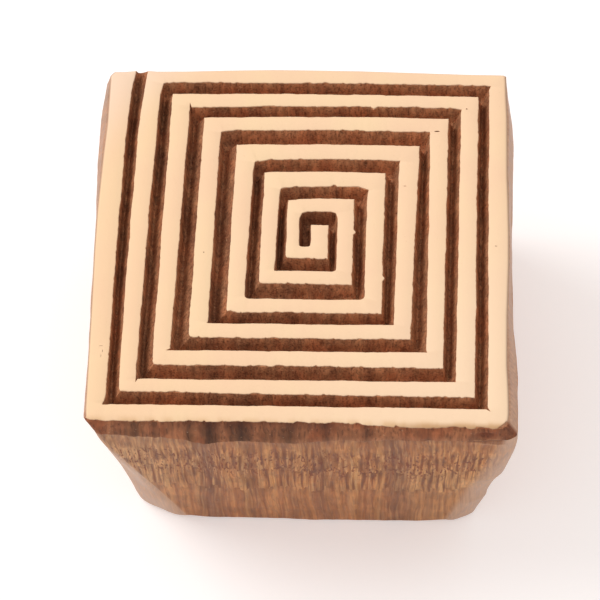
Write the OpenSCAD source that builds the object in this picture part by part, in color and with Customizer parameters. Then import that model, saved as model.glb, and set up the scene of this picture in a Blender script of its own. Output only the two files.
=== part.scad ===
// Wooden textile printing block with a square spiral carved in its face.
// It stands on its back with the printing face up. The origin is the middle of the back.

/* [Printing face] */
// Width of the printing face, left to right
face_w = 60; // [52:1:75]
// Depth of the printing face, front to back
face_d = 60; // [52:1:75]
// Thickness of the pale ground left on the raised line
coat_t = 0.2; // [0.1:0.05:0.5]

/* [Spiral groove] */
// Distance from one turn of the groove to the next, middle to middle
pitch = 4.5; // [3.6:0.1:7]
// Distance from the edge of the face to the middle of the outermost turn
border = 3.5; // [2.5:0.1:5]
// Least distance from the middle of the face to the innermost turn, kept for the hook
core = 3.6; // [3:0.1:6]
// Width of the groove at the face, for the runs that go left to right
cross_groove_w = 2.2; // [1.4:0.1:2.6]
// Width of the groove at the face, for the runs that go front to back
long_groove_w = 1.9; // [1.4:0.1:2.6]
// Inward lean of each groove wall, from the face down to the floor
wall_lean = 0.55; // [0:0.05:0.65]
// Depth of the carving below the top of the wood
groove_depth = 2.8; // [1.5:0.1:6]
// How far the hand-laid lines wander from even spacing, 0 for none and 1 as made
hand_drift = 1; // [0:0.1:1]

/* [Block] */
// Overall height, from the back to the top of the ground
block_h = 40; // [28:1:60]
// Width of the flat back, left to right
back_w = 52; // [40:1:58]
// Depth of the flat back, front to back
back_d = 52; // [40:1:58]
// Height of the chiselled collar under the face
collar_h = 4.2; // [2.5:0.1:8]
// How far the foot of the collar stands out beyond the face on each side
collar_flare = 1.2; // [0.2:0.1:2.5]
// Step from the foot of the collar in to the body on each side
collar_step = 0.3; // [0.1:0.1:0.8]
// Bevel around the edge of the back
back_bevel = 0.8; // [0.3:0.1:2]

/* [Cut arrises] */
// Flat on the front left arris, along each wall at the foot of the collar
left_cut_top = 3.2; // [1:0.1:4]
// Flat on the front left arris, along each wall at the back
left_cut_back = 5.4; // [2:0.1:8]
// Flat on the other three arrises, along each wall at the foot of the collar
other_cut_top = 0.8; // [0.3:0.1:3]
// Flat on the other three arrises, along each wall at the back
other_cut_back = 3.4; // [1:0.1:6]

/* [Hidden] */
wood_colour = [0.56, 0.39, 0.29];
coat_colour = [0.98, 0.83, 0.69];

// Tops of the wood and of the foot of the collar
wood_h = block_h - coat_t;
collar_z = wood_h - collar_h;
// Half widths of the foot of the collar and of the top of the body
collar_x = face_w / 2 + collar_flare;
collar_y = face_d / 2 + collar_flare;
body_x = collar_x - collar_step;
body_y = collar_y - collar_step;
// Length by which cutters run on past the wood
past = 2;

// How far each turn wanders from even spacing towards +X or +Y, from the outermost turn inwards
left_drift = [0.2, 0.3, 0.6, 1.2, 1.6, 1.0];
front_drift = [0.1, 0, 0.1, 0.1, 0, 0.1];
right_drift = [0, 0.1, 0.2, -0.1, 0, 0.4];
back_drift = [0.4, 0.8, 0.7, 0.2, 0, 0.1];

// Wander of turn k, where turns past the end of a list keep its last value
function drift(list, k) = hand_drift * list[min(k, len(list) - 1)];

// Middle lines of turn k of the groove on each of the four sides
function left_x(k) = -face_w / 2 + border + k * pitch + drift(left_drift, k);
function front_y(k) = -face_d / 2 + border + k * pitch + drift(front_drift, k);
function right_x(k) = face_w / 2 - border - k * pitch + drift(right_drift, k);
function back_y(k) = face_d / 2 - border - k * pitch + drift(back_drift, k);

// Number of the innermost turn, counted from 0 at the outermost: as many as the face has room for
last = floor((min(face_w, face_d) / 2 - border - core) / pitch);

// The hook stops half way down the innermost turn, on a line between its two sides
hook_x = (left_x(last) + right_x(last)) / 2;
hook_y = (front_y(last) + back_y(last)) / 2;

// Corners of the groove's middle line, from the mouth at the back edge in to the hook
path = concat(
    [[left_x(0), collar_y + past]],
    [for (k = [0 : last]) each [
        [left_x(k), front_y(k)],
        [right_x(k), front_y(k)],
        [right_x(k), back_y(k)],
        [k < last ? left_x(k + 1) : hook_x, back_y(k)]
    ]],
    [[hook_x, hook_y]]
);

// Rectangle of the groove at the face along run i: its low and high corners
function low(i) = [
    min(path[i].x, path[i + 1].x) - long_groove_w / 2,
    min(path[i].y, path[i + 1].y) - cross_groove_w / 2
];
function high(i) = [
    max(path[i].x, path[i + 1].x) + long_groove_w / 2,
    max(path[i].y, path[i + 1].y) + cross_groove_w / 2
];

// Every run of the groove as it opens at the face
module groove_mouth() {
    for (i = [0 : len(path) - 2])
        translate(low(i))
            square(high(i) - low(i));
}

// Outline of one run across its walls, from a to b, leaning in towards the floor and open above the wood
module leaning_outline(a, b) {
    polygon([
        [a + wall_lean, wood_h - groove_depth],
        [b - wall_lean, wood_h - groove_depth],
        [b, wood_h],
        [b, wood_h + past],
        [a, wood_h + past],
        [a, wood_h]
    ]);
}

// Solid of one run of the groove, with all four of its walls leaning in
module groove_run(i) {
    intersection() {
        translate([0, high(i).y, 0])
            rotate([90, 0, 0])
                linear_extrude(high(i).y - low(i).y)
                    leaning_outline(low(i).x, high(i).x);
        translate([low(i).x, 0, 0])
            rotate([90, 0, 90])
                linear_extrude(high(i).x - low(i).x)
                    leaning_outline(low(i).y, high(i).y);
    }
}

// Upright outline of the block across one pair of its sides
module side_outline(back_half, body_half, collar_half, face_half) {
    polygon([
        [-back_half + back_bevel, 0],
        [back_half - back_bevel, 0],
        [back_half, back_bevel],
        [body_half, collar_z],
        [collar_half, collar_z],
        [face_half, wood_h],
        [-face_half, wood_h],
        [-collar_half, collar_z],
        [-body_half, collar_z],
        [-back_half, back_bevel]
    ]);
}

// Block before the carving: the outline across X and the outline across Y, kept where they meet
module billet() {
    intersection() {
        translate([0, collar_y + past, 0])
            rotate([90, 0, 0])
                linear_extrude(2 * (collar_y + past))
                    side_outline(back_w / 2, body_x, collar_x, face_w / 2);
        translate([-collar_x - past, 0, 0])
            rotate([90, 0, 90])
                linear_extrude(2 * (collar_x + past))
                    side_outline(back_d / 2, body_y, collar_y, face_d / 2);
    }
}

// Cutter for one arris, towards the given signs of X and Y: a flat that widens from the face down to the back
module arris_cut(side_x, side_y, cut_top, cut_back) {
    corner_turn = atan2(side_y, side_x);
    face_r = (face_w + face_d) / 2 / sqrt(2);
    top_r = (collar_x + collar_y - cut_top) / sqrt(2);
    back_r = (back_w / 2 + back_d / 2 - cut_back) / sqrt(2);
    far_r = (collar_x + collar_y) / sqrt(2) + past;
    reach = collar_x + collar_y;
    rotate([0, 0, corner_turn])
        translate([0, reach / 2, 0])
            rotate([90, 0, 0])
                linear_extrude(reach)
                    polygon([
                        [back_r, -past],
                        [far_r, -past],
                        [far_r, wood_h + past],
                        [face_r, wood_h + past],
                        [face_r, wood_h],
                        [top_r, collar_z],
                        [back_r, 0]
                    ]);
}

// The carved billet of hardwood
module carved_block() {
    color(wood_colour)
        difference() {
            billet();
            arris_cut(-1, -1, left_cut_top, left_cut_back);
            arris_cut(1, -1, other_cut_top, other_cut_back);
            arris_cut(1, 1, other_cut_top, other_cut_back);
            arris_cut(-1, 1, other_cut_top, other_cut_back);
            for (i = [0 : len(path) - 2])
                groove_run(i);
        }
}

// The pale ground on top of the raised line
module ground_coat() {
    color(coat_colour)
        translate([0, 0, wood_h])
            linear_extrude(coat_t)
                difference() {
                    square([face_w, face_d], center = true);
                    groove_mouth();
                }
}

carved_block();
ground_coat();
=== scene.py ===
from math import cos, pi, radians, sin, sqrt

import bpy
from mathutils import Matrix, Vector
from mathutils.geometry import delaunay_2d_cdt
from mathutils.noise import noise


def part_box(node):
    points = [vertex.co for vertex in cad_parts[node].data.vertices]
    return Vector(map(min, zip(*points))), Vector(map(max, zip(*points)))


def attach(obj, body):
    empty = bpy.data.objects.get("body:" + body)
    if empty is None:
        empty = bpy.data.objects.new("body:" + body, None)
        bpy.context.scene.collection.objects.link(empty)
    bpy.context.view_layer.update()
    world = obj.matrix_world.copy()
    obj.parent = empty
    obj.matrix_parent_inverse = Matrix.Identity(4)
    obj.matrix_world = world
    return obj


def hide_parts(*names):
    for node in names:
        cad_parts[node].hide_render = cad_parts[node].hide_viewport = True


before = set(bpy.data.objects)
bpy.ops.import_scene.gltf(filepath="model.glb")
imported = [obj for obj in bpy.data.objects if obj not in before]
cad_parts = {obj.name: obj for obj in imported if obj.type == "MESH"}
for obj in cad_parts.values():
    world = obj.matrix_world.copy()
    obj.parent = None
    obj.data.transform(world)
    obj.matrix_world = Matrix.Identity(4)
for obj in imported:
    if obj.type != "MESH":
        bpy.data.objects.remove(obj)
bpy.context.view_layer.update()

# Carved block
# One billet of brown hardwood with its fibres upright, so that the printing face is end grain.
# The spiral is chiselled into the face, the collar is pared below its edge and the body is rasped to a taper.
MM = 0.001
FACE_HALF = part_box("ground_coat")[1][0] / MM
BLOCK_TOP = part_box("ground_coat")[1][2] / MM
WOOD_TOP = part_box("carved_block")[1][2] / MM

# Runs of the groove from the outermost turn inwards, in mm: place across the run and width at the face,
# at its start and again at its end.
# Left runs come forwards, front runs go right, right runs go back and back runs go left.
LEFT_RUNS = [
    (-25.75, 1.8, -26.38, 1.65), (-21.2, 1.85, -22.0, 2.15), (-16.42, 2.2, -17.18, 2.4),
    (-11.47, 2.5, -11.9, 2.5), (-6.69, 1.65, -7.05, 1.9), (-2.8, 1.25, -3.05, 1.45), (0.5, 1.6, 0.5, 1.6),
]
FRONT_RUNS = [
    (-26.37, 2.05, -26.4, 1.75), (-22.08, 2.3, -21.9, 2.15), (-17.4, 2.1, -17.2, 2.05),
    (-12.95, 1.85, -12.88, 1.8), (-8.43, 2.6, -8.42, 2.4), (-3.85, 2.2, -3.93, 2.0),
]
RIGHT_RUNS = [
    (26.47, 1.85, 26.8, 1.55), (21.9, 1.75, 22.45, 1.8), (17.4, 2.3, 18.0, 1.5),
    (12.9, 1.8, 13.2, 1.95), (8.5, 1.8, 8.6, 1.8), (4.6, 1.25, 4.55, 1.25),
]
BACK_RUNS = [
    (26.85, 1.95, 26.75, 1.95), (22.82, 1.85, 22.45, 1.8), (18.2, 2.5, 18.05, 2.5),
    (13.18, 2.1, 13.0, 2.1), (8.53, 2.05, 8.22, 2.1), (4.1, 2.3, 4.1, 2.3),
]
# Kinds of run by their order within a turn, and the two sides of a run
LEFT, FRONT, RIGHT, BACK = range(4)
OUTER, INNER = -1, 1
# How far the middle of a run stands off the straight line between its corners, to the right or to the back
RUN_BOWS = {0: -0.2, 3: 0.2, 4: -0.1, 7: 0.25, 11: 0.15, 15: 0.24, 19: 0.2}
# The first run starts past the edge. Over its stretch next to the mouth it leans to the right and comes up
PAST_EDGE = 2.0
MOUTH_BEND = 0.65
MOUTH_LENGTH = 9.0
MOUTH_DEPTH = 0.9
MOUTH_SHARE = 0.06
# The last runs make the hook, with steeper walls, which stops at this place and is rounded beyond it
HOOK_RUNS = 2
HOOK_LEAN = 0.2
HOOK_END = -0.35
HOOK_ROUND = 0.45
HOOK_SQUARENESS = 0.6
ROUND_STEPS = 12

# Points across the groove from an edge to the middle of the floor: share of the depth, and share of the way
# from the middle of the floor to the wall
HALF_PROFILE = [(0, 1), (0.06, 1), (0.3, 1), (0.6, 1), (0.88, 0.97), (1, 0.7), (1.03, 0.3)]
PROFILE = [(OUTER, *spot) for spot in HALF_PROFILE] + [(INNER, *spot) for spot in reversed(HALF_PROFILE)]
LAST_LINE = len(PROFILE) - 1
GROOVE_DEPTH = 2.8
GROOVE_STEP = 0.22
# Share of the depth over which nicks, splinters and moved corners fade out, and the floor begins to be uneven
EDGE_SHARE = 0.5
SPLINTER_SHARE = 0.2
# Distance from a corner over which the marks of the tool begin
CALM_LENGTH = 0.6
# Lean of each wall as a share of the width
WALL_LEAN = {
    (LEFT, OUTER): 0.15, (LEFT, INNER): 0.62, (FRONT, OUTER): 0.18, (FRONT, INNER): 0.3,
    (RIGHT, OUTER): 0.48, (RIGHT, INNER): 0.3, (BACK, OUTER): 0.3, (BACK, INNER): 0.18,
}
# Painted shade in the groove: how dark it is painted along the bottom of the runs, on some walls and in the
# hook
DEEP_PAINTED_SHADE = 0.04
DEEP_SHARE = 0.45
WALL_PAINTED_SHADE = {(LEFT, INNER): 0.25, (FRONT, OUTER): 0.06, (FRONT, INNER): 0.06, (RIGHT, OUTER): 0.23}
HOOK_PAINTED_SHADE = 0.4
PAINTED_SHADE_FADE = 3.0
# How ragged each edge was left: the edges that face the front broke most
RAGGED = {
    (LEFT, OUTER): 0.5, (LEFT, INNER): 0.25, (FRONT, OUTER): 0.25, (FRONT, INNER): 1.5,
    (RIGHT, OUTER): 0.25, (RIGHT, INNER): 0.5, (BACK, OUTER): 1.3, (BACK, INNER): 0.25,
}
# Corners of the groove that are not square, by their number: knife cuts that ran on and corners left round,
# as the way right and the way back that the corner is moved, and how far along the edges that fades out
CORNER_SHIFTS = {
    OUTER: {
        1: (-0.5, -0.1, 2.0), 2: (0.4, -0.45, 0), 3: (0.3, -0.05, 0.8), 4: (0.38, -0.12, 4.0),
        5: (-0.05, -0.6, 0), 6: (0.05, -0.05, 0), 7: (0.1, -0.25, 1.5), 8: (-0.05, 0.85, 0),
        9: (-0.65, -0.05, 0), 10: (0.15, -0.05, 0), 11: (-0.1, 0, 0), 12: (0.1, -0.3, 2.5),
        13: (-0.15, 0, 0), 15: (0.15, 0, 0.5), 16: (0.15, -0.3, 2), 17: (0.1, 0.3, 0.5),
        18: (-0.1, 0.2, 0.6), 19: (0.2, -0.5, 2.5), 20: (0.12, -0.15, 1), 22: (-0.12, 0.15, 0.5),
        23: (-0.25, -0.25, 0.9), 24: (0.3, -0.3, 1),
    },
    INNER: {
        1: (0.25, 0.05, 1), 5: (0.25, 0.1, 0.8), 9: (0.35, 0.1, 1),
        13: (0.15, 0.1, 0.6), 17: (0.2, 0.1, 0.7), 21: (0.2, 0.1, 0.6),
    },
}
# Length of edge that is crowded together where a corner is moved in along it
CROWDED_LENGTH = 2.0
# Splinters left standing out into the groove, by run and side: place along, half length and reach
SPLINTERS = {(7, OUTER): (10.3, 0.5, 0.42), (18, INNER): (1.8, 0.4, 0.35), (14, INNER): (-6.0, 0.4, 0.3)}
# Nicks along an edge: their length, and the part of the noise that leaves the edge whole
SMALL_NICK = (0.7, 0.35)
LARGE_NICK = (2.1, 0.38)
DEEPEST_NICK = 0.14
NICK_SHARE = 0.45
# Height and length of the bumps along the walls and the floor of the groove
SLOW_WANDER = (0.1, 5)
QUICK_WANDER = (0.05, 1.7)
WIDE_FLUTE = (0.035, 0.8)
FINE_FLUTE = (0.03, 0.4)
LONG_FLOOR_BUMP = (0.2, 4.5)
SHORT_FLOOR_BUMP = (0.12, 1.1)

runs = []
for turn in zip(LEFT_RUNS, FRONT_RUNS, RIGHT_RUNS, BACK_RUNS):
    runs += turn
runs.append(LEFT_RUNS[-1])
last_run = len(runs) - 1


def ripple(x, y, z, seed):
    """Smooth noise from about -1 to 1, one bump per unit."""
    return noise(Vector((x + 7.31 * seed, y - 3.17 * seed, z + 11.9 * seed)))


def bumps(size, place, seed, across=0, down=0):
    """Bumps of the given height and length along a line."""
    height, length = size
    return height * ripple(place / length, across, down, seed)


def chip(place, seed):
    """Nicks along an edge, 0 where the edge is whole."""
    small = max(0.0, ripple(place / SMALL_NICK[0], 0, 0, seed) - SMALL_NICK[1])
    large = max(0.0, ripple(place / LARGE_NICK[0], 0, 0, seed + 5) - LARGE_NICK[1])
    return small + large


def lerp(a, b, share):
    """Value a share of the way from a to b."""
    return a + (b - a) * share


def limited(value):
    """Value held between 0 and 1."""
    return max(0.0, min(1.0, value))


def middle_line(i):
    """Start, direction, inner side and end of the middle line of run i."""
    start, end = runs[i][0], runs[i][2]
    before = runs[i - 1][2] if i else FACE_HALF + PAST_EDGE
    after = runs[i + 1][0] if i < last_run else HOOK_END
    if i % 2:
        first, second = Vector((before, start)), Vector((after, end))
    else:
        first, second = Vector((start, before)), Vector((end, after))
    along = (second - first).normalized()
    return first, along, Vector((-along.y, along.x)), second


lines = [middle_line(i) for i in range(len(runs))]


def wall_offset(i, spot, at_end):
    """Distance of a profile point from the middle line of run i, inwards, at its start or end."""
    side, down, share = spot
    width = runs[i][3 if at_end else 1]
    in_hook = i > last_run - HOOK_RUNS
    lean = {way: HOOK_LEAN if in_hook else WALL_LEAN[(i % 4, way)] for way in (OUTER, INNER)}
    floor_middle = (lean[OUTER] - lean[INNER]) / 2
    return width * lerp(floor_middle, side * (0.5 - lean[side] * min(down, 1)), share)


def meeting(p, along_p, q, along_q):
    """Point where the line through p meets the line through q."""
    gap = q - p
    cross = along_p.x * along_q.y - along_p.y * along_q.x
    return p + along_p * ((gap.x * along_q.y - gap.y * along_q.x) / cross)


# Sides of the block. The foot of the collar wanders: place along the wall, depth below the face, flare of
# the collar and belly of the body below it
FOOT = {
    "back": [(-31, 3.9, 0.8, 0.3), (-20, 4.2, 1.0, 0.3), (20, 4.2, 1.0, 0.3), (31, 3.9, 0.5, 0.3)],
    "right": [
        (-31, 2.5, 1.6, 1.1), (-26, 2.9, 1.7, 1.0), (-20, 3.3, 1.68, 0.8), (-17, 3.5, 1.6, 0.7),
        (-12, 3.8, 1.22, 0.4), (2, 4.0, 1.05, 0.3), (15, 4.0, 1.3, 0.3), (20, 4.0, 1.4, 0.3),
        (24, 4.0, 1.2, 0.3), (29, 3.9, 0.55, 0.3), (31, 3.9, 0.4, 0.3),
    ],
    "front": [
        (-31, 3.0, 0.75, 0), (-25.7, 3.2, 0.75, 0), (-20.9, 3.5, 0.85, 0), (-17.5, 3.95, 0.95, 0),
        (-14.5, 4.6, 1.1, 0), (-9.6, 4.0, 1.0, 0), (-4.6, 4.25, 1.05, 0), (-0.6, 4.3, 1.05, 0),
        (6, 3.7, 0.9, 0), (10, 3.4, 1.05, 0), (14, 2.6, 1.08, 0), (21.9, 2.55, 1.08, 0),
        (25.9, 2.8, 1.05, 0), (31, 2.6, 0.75, 0),
    ],
    "left": [
        (-31, 2.6, 0.5, 0.1), (-26, 2.8, 0.5, 0.1), (-18, 3.2, 0.55, 0.1), (-8, 3.8, 0.8, 0.1),
        (6, 4.0, 1.05, 0.1), (15, 4.0, 1.45, 0.1), (19, 4.0, 1.35, 0.1), (25, 4.0, 1.2, 0.1),
        (31, 3.8, 0.75, 0.1),
    ],
}
# Flare and belly of the walls beside the one that is worked out
PLAIN_SWELL = {"back": (0.8, 0.3), "right": (1.0, 0.5), "front": (0.65, 0), "left": (0.7, 0.1)}
# The belly stands out most above the middle of the body
BELLY_RISE = 0.6
# How far each edge of the face stands out from square: place along it and way out
EDGE_OUT = {
    "back": [
        (-31, -0.25), (-24, -0.05), (-18, 0.05), (-12, 0.3), (-5, 0.5), (0, 0.5), (8, 0.45), (16, 0.25),
        (24, 0.05), (31, 0),
    ],
    "right": [
        (-31, 0.4), (-27, 0.5), (-24, 0.45), (-20, 0.28), (-12, 0.33), (-8, 0.45), (-3, 0.6), (2, 0.62),
        (8, 0.53), (12, 0.42), (22, 0.43), (26, 0.3), (31, 0.2),
    ],
    "front": [
        (-31, 0.05), (-28.5, 0.05), (-27, 0.22), (-17, 0.25), (-15.5, 0), (-13.5, 0.12), (-5, 0), (1, 0.15),
        (6, 0), (10, 0.25), (14, 0.5), (18, 0.62), (21, 0.52), (23.3, 0.48), (25, 0.62), (26.7, 0.3),
        (28.3, 0.6), (31, 0.2),
    ],
    "left": [
        (-31, 0.15), (-27, 0.2), (-18, 0.3), (-10, 0.4), (-2, 0.55), (5, 0.55), (10, 0.4), (15, 0.25),
        (20, 0),
    ],
}
COLLAR_STEP = {"back": 0.3, "right": 0.0, "front": 0.08, "left": 0.2}
BACK_HALF = {"back": 26.0, "right": 26.5, "front": 26.2, "left": 25.4}
# Flats on the four arrises, along X and along Y, at the face, at the foot of the collar and at the back
ARRIS_CUTS = {
    "back_right": ((0.5, 0.5), (0.9, 0.9), (3.4, 3.4)),
    "right_front": ((0.4, 0.4), (1.6, 0.9), (4.8, 2.3)),
    "front_left": ((0.35, 0.35), (2.5, 3.4), (8.1, 3.7)),
    "left_back": ((1.0, 1.3), (1.0, 1.0), (3.4, 3.4)),
}
# How late each flat widens on its way down, how far it is bowed, and how square that bow is
ARRIS_SPREAD = {"back_right": 1.0, "right_front": 1.0, "front_left": 1.5, "left_back": 1.0}
ARRIS_BOW = {"back_right": 0.08, "right_front": 0.09, "front_left": 0.07, "left_back": 0.08}
BOW_SQUARENESS = 4
WALLS = ["back", "right", "front", "left"]
FACING = {
    "back": Vector((0, 1)), "right": Vector((1, 0)), "front": Vector((0, -1)), "left": Vector((-1, 0)),
}


def between(points, place):
    """Values at one place on the lines through a list of points."""
    if place <= points[0][0]:
        return points[0][1:]
    for (first, *low), (second, *high) in zip(points, points[1:]):
        if place <= second:
            share = (place - first) / (second - first)
            return [lerp(a, b, share) for a, b in zip(low, high)]
    return points[-1][1:]


def foot_at(part, share):
    """Depth of the foot of the collar at one column, and the flare and belly of the walls there."""
    swell = dict(PLAIN_SWELL)
    depth = 0.0
    for wall in part.split("_"):
        start, end = (-FACE_HALF, FACE_HALF) if wall in ("back", "left") else (FACE_HALF, -FACE_HALF)
        if part == wall:
            along, weight = lerp(start, end, share), 1.0
        elif part.startswith(wall):
            along, weight = end, 1 - share
        else:
            along, weight = start, share
        wall_depth, *swell[wall] = between(FOOT[wall], along)
        depth += wall_depth * weight
    return depth, swell


def stand_out(wall, spot, zone, down):
    """Moves a point of a wall to where the edge of the face really runs, less and less down the collar."""
    if zone == "body":
        return spot
    along = spot.x if wall in ("back", "front") else spot.y
    return spot + FACING[wall] * (between(EDGE_OUT[wall], along)[0] * (1 - down))


def outline_point(part, share, swell, zone, down):
    """Point of the outline on one wall or arris, a share of the way down the collar or the body."""
    half = {}
    for wall, (flare, belly) in swell.items():
        if zone == "collar":
            half[wall] = FACE_HALF + flare * down
        else:
            top = FACE_HALF + flare - COLLAR_STEP[wall]
            half[wall] = lerp(top, BACK_HALF[wall], down) + belly * sin(pi * down ** BELLY_RISE)
    cut = {}
    for arris, (face, foot, back) in ARRIS_CUTS.items():
        if zone == "collar":
            cut[arris] = [lerp(a, b, down) for a, b in zip(face, foot)]
        else:
            cut[arris] = [lerp(a, b, down ** ARRIS_SPREAD[arris]) for a, b in zip(foot, back)]
    left, right = -half["left"], half["right"]
    front, back = -half["front"], half["back"]
    ends = {
        "back": ((left + cut["left_back"][0], back), (right - cut["back_right"][0], back)),
        "right": ((right, back - cut["back_right"][1]), (right, front + cut["right_front"][1])),
        "front": ((right - cut["right_front"][0], front), (left + cut["front_left"][0], front)),
        "left": ((left, front + cut["front_left"][1]), (left, back - cut["left_back"][1])),
    }
    if part in WALLS:
        return stand_out(part, Vector(ends[part][0]).lerp(Vector(ends[part][1]), share), zone, down)
    before, after = part.split("_")
    first = stand_out(before, Vector(ends[before][1]), zone, down)
    second = stand_out(after, Vector(ends[after][0]), zone, down)
    bow = ARRIS_BOW[part] * (second - first).length * (1 - abs(2 * share - 1) ** BOW_SQUARENESS)
    return first.lerp(second, share) + (FACING[before] + FACING[after]) * bow


class Shell:
    """Points of a piece in mm, with how far each was shaved (shown with a painted sheen), how much dirt and
    painted shade it holds, and its faces.
    """

    def __init__(self):
        self.points, self.shaved, self.dirt_and_shade = [], [], []
        self.faces, self.slots = [], []

    def point(self, x, y, z, shaved=0.0, dirt_and_shade=0.0):
        """Adds a point and gives its number."""
        self.points.append(Vector((x, y, z)))
        self.shaved.append(shaved)
        self.dirt_and_shade.append(dirt_and_shade)
        return len(self.points) - 1

    def face(self, corners, slot):
        """Adds a face, with the number of its finish."""
        self.faces.append(tuple(corners))
        self.slots.append(slot)


wood = Shell()
PARED_COLLAR, RASPED_BODY, GROOVE = range(3)

# Corners of every line of the groove's profile, from the mouth in the back edge to the hook
mouth_foot, mouth_swell = foot_at("back", MOUTH_SHARE)
line_corners = []
for spot in PROFILE:
    start = lines[0][0] + lines[0][2] * wall_offset(0, spot, False)
    mouth_down = spot[1] * MOUTH_DEPTH / mouth_foot
    mouth_y = outline_point("back", MOUTH_SHARE, mouth_swell, "collar", mouth_down).y
    corners = [start + lines[0][1] * ((mouth_y - start.y) / lines[0][1].y)]
    for i in range(1, len(runs)):
        p, along_p, inner_p = lines[i - 1][:3]
        q, along_q, inner_q = lines[i][:3]
        first = p + inner_p * wall_offset(i - 1, spot, True)
        second = q + inner_q * wall_offset(i, spot, False)
        corners.append(meeting(first, along_p, second, along_q))
    corners.append(lines[last_run][3] + lines[last_run][2] * wall_offset(last_run, spot, True))
    line_corners.append(corners)

# Rows along the groove: run, share of the run, place along the whole groove and length of the run
groove_rows = []
travel = 0.0
for i, line in enumerate(lines):
    length = (line[3] - line[0]).length
    steps = max(4, round(length / GROOVE_STEP))
    for step in range(steps + (i == last_run)):
        groove_rows.append((i, step / steps, travel + length * step / steps, length))
    travel += length


def wall_roughness(i, side, down, place, spot):
    """How far a point of the groove's wall stands off its line, away from the middle of the run."""
    seed = 2 + i + 40 * (side == INNER)
    rag = RAGGED[(i % 4, side)]
    wander = bumps(SLOW_WANDER, place, seed) + bumps(QUICK_WANDER, place, seed + 1)
    flute = bumps(WIDE_FLUTE, place, seed + 2) + bumps(FINE_FLUTE, place, seed + 3, 0, down)
    broken = min(DEEPEST_NICK, NICK_SHARE * rag * chip(place, seed + 4)) * max(0.0, 1 - down / EDGE_SHARE)
    if (i, side) in SPLINTERS and down < SPLINTER_SHARE:
        middle, half_length, reach = SPLINTERS[(i, side)]
        away = abs((spot.x if i % 2 else spot.y) - middle) / half_length
        broken -= reach * max(0.0, 1 - away ** 2)
    return wander + flute * (0.5 + rag) + broken


def corner_move(i, corner, gap, onward, side, down):
    """How far a point of run i moves with a corner of the groove, at a distance from that corner."""
    if corner not in CORNER_SHIFTS[side] or down >= EDGE_SHARE:
        return Vector((0, 0))
    right, back, reach = CORNER_SHIFTS[side][corner]
    shift = Vector((right, back)) * (1 - down / EDGE_SHARE)
    if gap > 0:
        along, inner = lines[i][1:3]
        crowding = max(0.0, onward * shift.dot(along)) * max(0.0, 1 - gap / CROWDED_LENGTH)
        across = shift.dot(inner) * max(0.0, 1 - gap / max(reach, 0.01)) ** 2
        shift = inner * across + along * (onward * crowding)
    return shift


def groove_painted_shade(i, side, down, corner_gap):
    """How dark a point of the groove is painted, as painted shade."""
    if i > last_run - HOOK_RUNS:
        return HOOK_PAINTED_SHADE
    near_corner = 0.5 * max(0.0, 1 - corner_gap / PAINTED_SHADE_FADE)
    # Painted shade that deepens towards the bottom of the run
    deep_shade = DEEP_PAINTED_SHADE * max(0.0, down - DEEP_SHARE) / (1 - DEEP_SHARE)
    deep_shade *= near_corner if i % 2 else 1 - near_corner
    return max(deep_shade, WALL_PAINTED_SHADE.get((i % 4, side), 0.0))


# Walls and floor of the groove
groove_grid = []
for i, share, place, length in groove_rows:
    corner_gap = length if i == 0 and share < 0.5 else min(share, 1 - share) * length
    calm = min(1.0, corner_gap / CALM_LENGTH)
    bow = RUN_BOWS.get(i, 0.0) * 4 * share * (1 - share)
    row = []
    for j, (side, down, reach) in enumerate(PROFILE):
        flat = line_corners[j][i].lerp(line_corners[j][i + 1], share)
        flat += Vector((0, bow)) if i % 2 else Vector((bow, 0))
        depth = GROOVE_DEPTH
        if i == 0:
            near_mouth = max(0.0, 1 - (FACE_HALF - flat.y) / MOUTH_LENGTH)
            flat.x += MOUTH_BEND * near_mouth ** 1.4
            depth = lerp(depth, MOUTH_DEPTH, near_mouth ** 2)
        flat = flat + lines[i][2] * (calm * side * reach * wall_roughness(i, side, down, place, flat))
        z = WOOD_TOP - down * depth
        if down > EDGE_SHARE:
            uneven = bumps(LONG_FLOOR_BUMP, place, 70) + bumps(SHORT_FLOOR_BUMP, place, 71, side * reach)
            z += (down - EDGE_SHARE) / (1 - EDGE_SHARE) * calm * uneven
        flat = flat + corner_move(i, i, share * length, 1, side, down)
        flat = flat + corner_move(i, i + 1, (1 - share) * length, -1, side, down)
        row.append(wood.point(flat.x, flat.y, z, 0.0, groove_painted_shade(i, side, down, corner_gap)))
    groove_grid.append(row)
for before, after in zip(groove_grid, groove_grid[1:]):
    for j in range(LAST_LINE):
        wood.face((before[j], after[j], after[j + 1], before[j + 1]), GROOVE)

# Rounded end of the hook
hook_middle = lines[last_run][3]
hook_rings = []
for j in range(len(HALF_PROFILE)):
    left = wood.points[groove_grid[-1][j]]
    right = wood.points[groove_grid[-1][LAST_LINE - j]]
    middle = (left + right) / 2
    ring = [groove_grid[-1][j]]
    for step in range(1, ROUND_STEPS):
        turned = pi * step / ROUND_STEPS
        over = abs(cos(turned)) ** HOOK_SQUARENESS * (1 if cos(turned) > 0 else -1)
        past = HOOK_ROUND * (right - left).length / runs[last_run][3] * sin(turned) ** HOOK_SQUARENESS
        spot = middle + (left - middle) * over
        ring.append(wood.point(spot.x, spot.y - past, spot.z, 0.0, HOOK_PAINTED_SHADE))
    ring.append(groove_grid[-1][LAST_LINE - j])
    hook_rings.append(ring)
for outer_ring, inner_ring in zip(hook_rings, hook_rings[1:]):
    for step in range(ROUND_STEPS):
        wood.face((outer_ring[step], outer_ring[step + 1], inner_ring[step + 1], inner_ring[step]), GROOVE)
wood.face(hook_rings[-1], GROOVE)

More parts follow.
